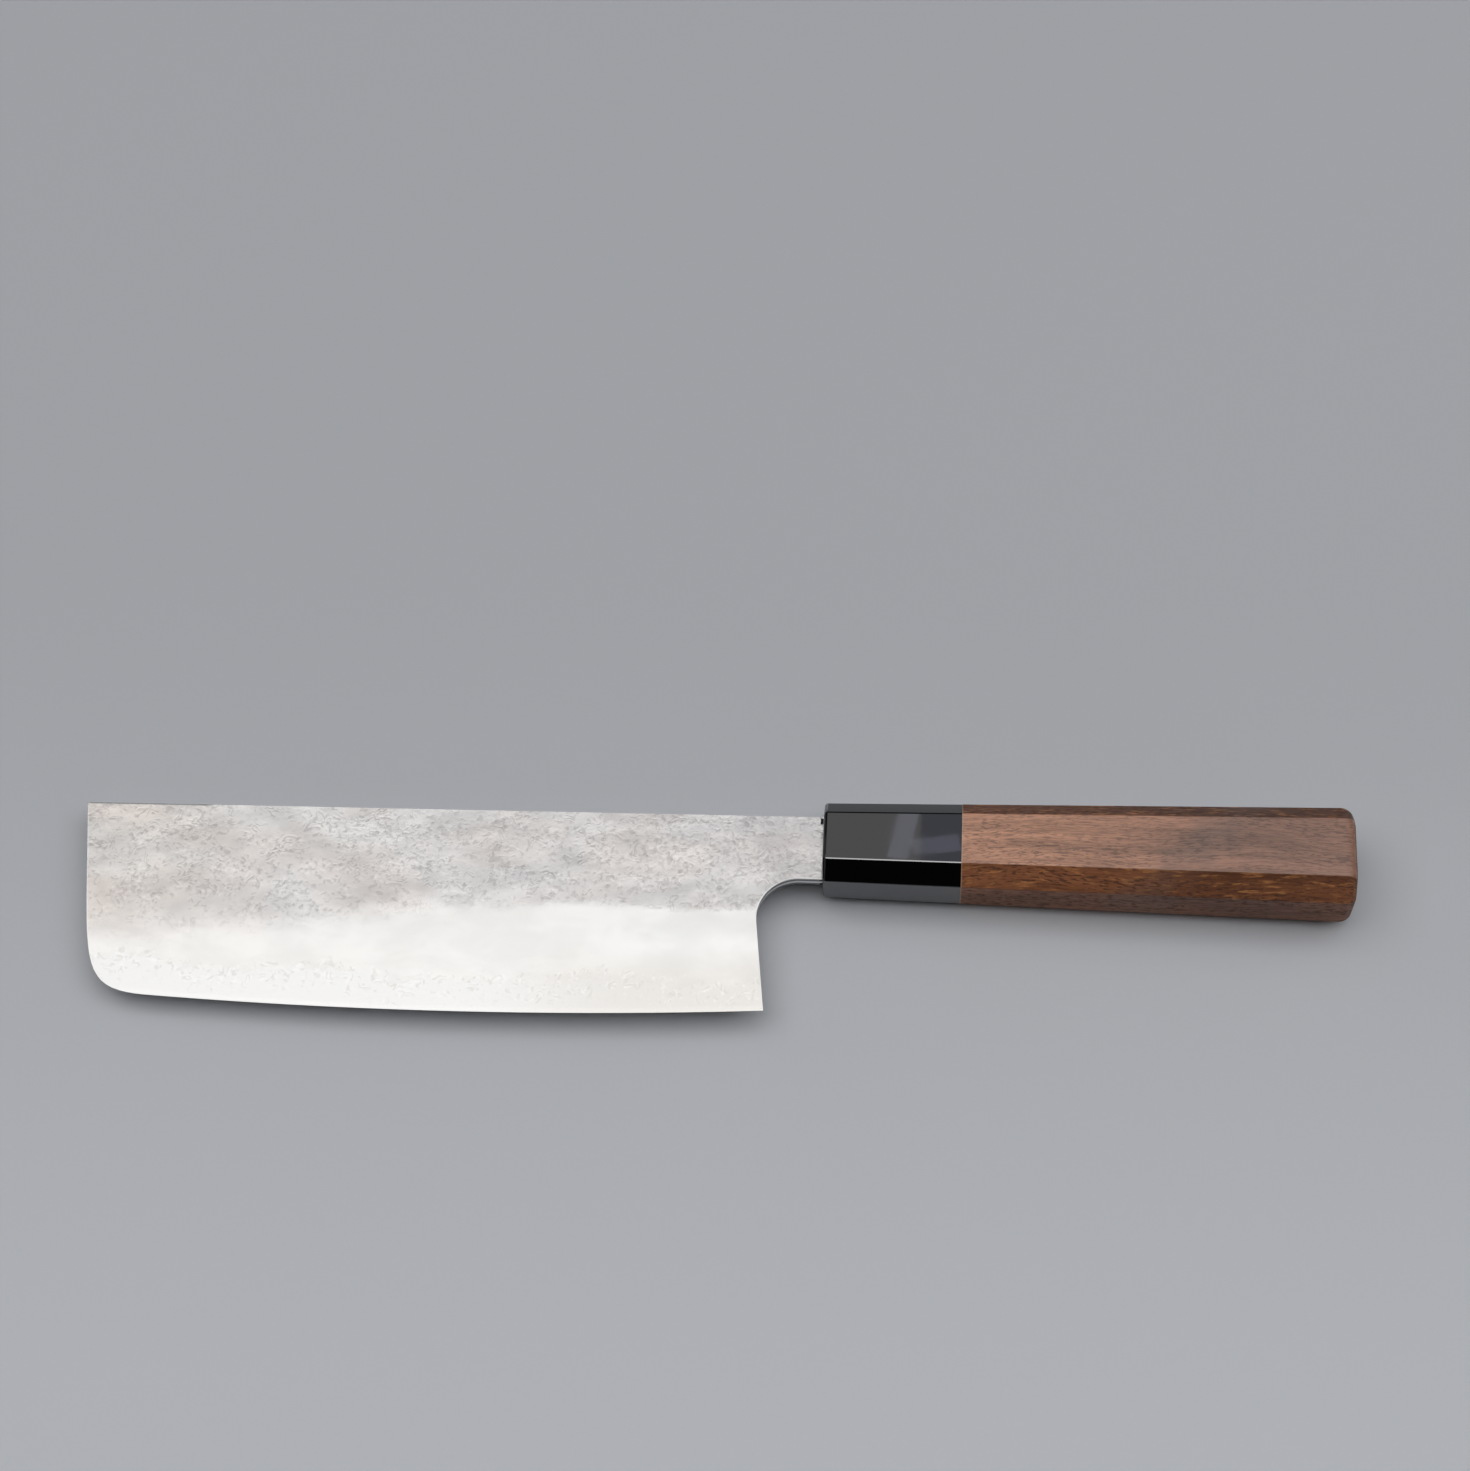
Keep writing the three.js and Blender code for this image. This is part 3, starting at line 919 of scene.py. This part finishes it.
def set_resin():
    """Cloudy amber resin."""
    material, tree, shader = new_material("set_resin")
    haze = cloud(tree, on_piece(tree), 260, 3, 0.6)
    feed(tree, shader, {
        "Base Color": blend(tree, haze, (0.52, 0.40, 0.19, 1), (0.66, 0.56, 0.31, 1)),
        "Roughness": spread(tree, haze, 0.3, 0.7, 0.25, 0.4)})
    return material


def table_top():
    """Pale grey table with a barely visible grain, with a painted gradient of light that makes it lighter
    towards the camera.
    """
    material, tree, shader = new_material("table_top")
    where = on_piece(tree)
    tone = cloud(tree, where, 900, 2, 0.6)
    far = blend(tree, tone, (0.581, 0.598, 0.634, 1), (0.595, 0.612, 0.648, 1))
    near = blend(tree, tone, (0.726, 0.747, 0.792, 1), (0.743, 0.764, 0.810, 1))
    # Painted light: the table is painted lighter towards the camera and darker behind the knife.
    nearness = spread(tree, separate(tree, where)[1], 0.10, -0.14)
    feed(tree, shader, {"Base Color": blend(tree, nearness, far, near)})
    shader.inputs["Roughness"].default_value = 0.6
    shader.inputs["Specular IOR Level"].default_value = 0.3
    return material


# The table is flush with the facet of the grip that the knife lies on, so it follows the grip's taper.
facet_slope = (butt_thickness - front_thickness) / 2 / handle_length
table_x = Vector((1, 0, -facet_slope)).normalized()
table_y = Vector((0, 1, 0))
table_z = table_x.cross(table_y)
table_origin = place(0, 0, -front_thickness / 2)
table_turn = Matrix((table_x, table_y, table_z)).transposed()
table_half = 6
panel_height = 2.6
window_height = 2.55
corner_height = 1.3
plain_white = (1, 1, 1)
cool_white = (0.92, 0.95, 1.1)
sky_blue = (0.83, 0.86, 1.15)


def on_table(x, y, z):
    """A point given from the table under the ferrule's front."""
    return table_origin + table_turn @ Vector((x, y, z))


def make_table(material):
    """A wide plain table under the knife."""
    bm = bmesh.new()
    turn = Matrix.Translation(table_origin) @ table_turn.to_4x4()
    bmesh.ops.create_grid(bm, x_segments=8, y_segments=8, size=table_half, matrix=turn)
    mesh = bpy.data.meshes.new("table")
    bm.to_mesh(mesh)
    bm.free()
    table = bpy.data.objects.new("table", mesh)
    bpy.context.scene.collection.objects.link(table)
    mesh.materials.append(material)


def soft_light(name, centre, aim, width, depth, level, tint=plain_white, turn=0.0):
    """A soft panel; level is the brightness of its face, where 1 is white."""
    lamp = bpy.data.lights.new(name, "AREA")
    lamp.shape = "RECTANGLE"
    lamp.size = width
    lamp.size_y = depth
    lamp.energy = level * math.pi * width * depth
    lamp.color = tint
    holder = bpy.data.objects.new(name, lamp)
    bpy.context.scene.collection.objects.link(holder)
    holder.visible_camera = False
    holder.location = centre
    holder.rotation_mode = "QUATERNION"
    back = (centre - aim).normalized()
    up = back.cross(table_x).normalized()
    facing = Matrix((up.cross(back), up, back)).transposed() @ Matrix.Rotation(turn, 3, "Z")
    holder.rotation_quaternion = facing.to_quaternion()


def light_above(name, x, y, width, depth, level, tint=plain_white):
    """A soft panel that looks straight down on the table."""
    soft_light(name, on_table(x, y, panel_height), on_table(x, y, 0), width, depth, level, tint)


def window_light(name, x, y, width, depth, level, turn):
    """A small bluish pane that the polished ferrule mirrors."""
    centre = on_table(x, y, window_height)
    soft_light(name, centre, on_table(0, 0, 0), width, depth, level, sky_blue, math.radians(turn))


def make_lights():
    """Panels over the table, a strip for the ridges, two window panes and a fill in each corner."""
    light_above("overhead_panel", 0.4, 0.065, 6.0, 2.03, 1.45)
    light_above("edge_left", -1.338, 1.175, 2.524, 0.19, 1.27)
    light_above("edge_right", 1.662, 1.175, 3.476, 0.19, 0.85, cool_white)
    light_above("back_panel", 0.4, 1.835, 6.0, 1.13, 0.38)
    soft_light("ridge_strip", on_table(0.12, -1.0, 2.58), on_table(0.12, 0, 0), 0.8, 0.1, 9.0)
    window_light("window_left", -0.098, 1.168, 0.028, 0.098, 0.95, -10)
    window_light("window_right", -0.053, 1.149, 0.066, 0.030, 0.75, 9)
    for x, y in ((3.6, -3.6), (-3.6, -3.6), (4.2, 2.4), (-4.2, 2.4)):
        soft_light("corner_fill", on_table(x, y, corner_height), on_table(0, 0, 0), 3.9, 2.3, 0.3)


def make_camera():
    """Camera at the photograph's angle, given from the table under the ferrule's front."""
    right = table_turn @ Vector((0.99814, 0.05153, -0.03254))
    up = table_turn @ Vector((-0.03175, 0.89545, 0.44402))
    back = right.cross(up).normalized()
    up = back.cross(right).normalized()
    lens = bpy.data.cameras.new("camera")
    lens.sensor_fit = "HORIZONTAL"
    lens.sensor_width = 36
    lens.lens = 70.49
    lens.clip_start = 0.01
    lens.clip_end = 50
    camera = bpy.data.objects.new("camera", lens)
    bpy.context.scene.collection.objects.link(camera)
    camera.rotation_mode = "QUATERNION"
    camera.rotation_quaternion = Matrix((right, up, back)).transposed().to_quaternion()
    camera.location = on_table(0.013484, -0.27727, 0.62981)
    bpy.context.scene.camera = camera


def make_room():
    """Low even light all round."""
    world = bpy.data.worlds.new("room")
    world.use_nodes = True
    world.node_tree.nodes["Background"].inputs["Color"].default_value = (0.95, 0.97, 1.0, 1)
    world.node_tree.nodes["Background"].inputs["Strength"].default_value = 0.01
    bpy.context.scene.world = world


steel_skin = steel_skin_group()
layer_line = layer_line_group()
wood_grain = wood_grain_group()

# The last colour is painted onto the wall below the neck: painted shade on the claddings, a painted
# highlight on the core.
cladding_steel = blade_steel("cladding_steel", steel_skin, layer_line, 1.0, (0.20, 0.20, 0.205, 1))
core_steel = blade_steel("core_steel", steel_skin, layer_line, 0.9, (0.88, 0.87, 0.86, 1))
make_cladding("left_cladding", "cladding_left", 1, cladding_steel)
make_cladding("right_cladding", "cladding_right", -1, cladding_steel)
make_core("edge_core", "blade_core", core_steel)
make_ferrule(black_polish())
make_grip(oiled_walnut(wood_grain))
for hidden, finish in (("dowel", plain_dowel_wood(wood_grain)), ("tang_bedding", set_resin())):
    hidden_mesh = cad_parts[hidden].data
    hidden_mesh.materials.clear()
    hidden_mesh.materials.append(finish)

make_table(table_top())
make_lights()
make_room()
make_camera()

bpy.context.scene.view_settings.view_transform = "Standard"
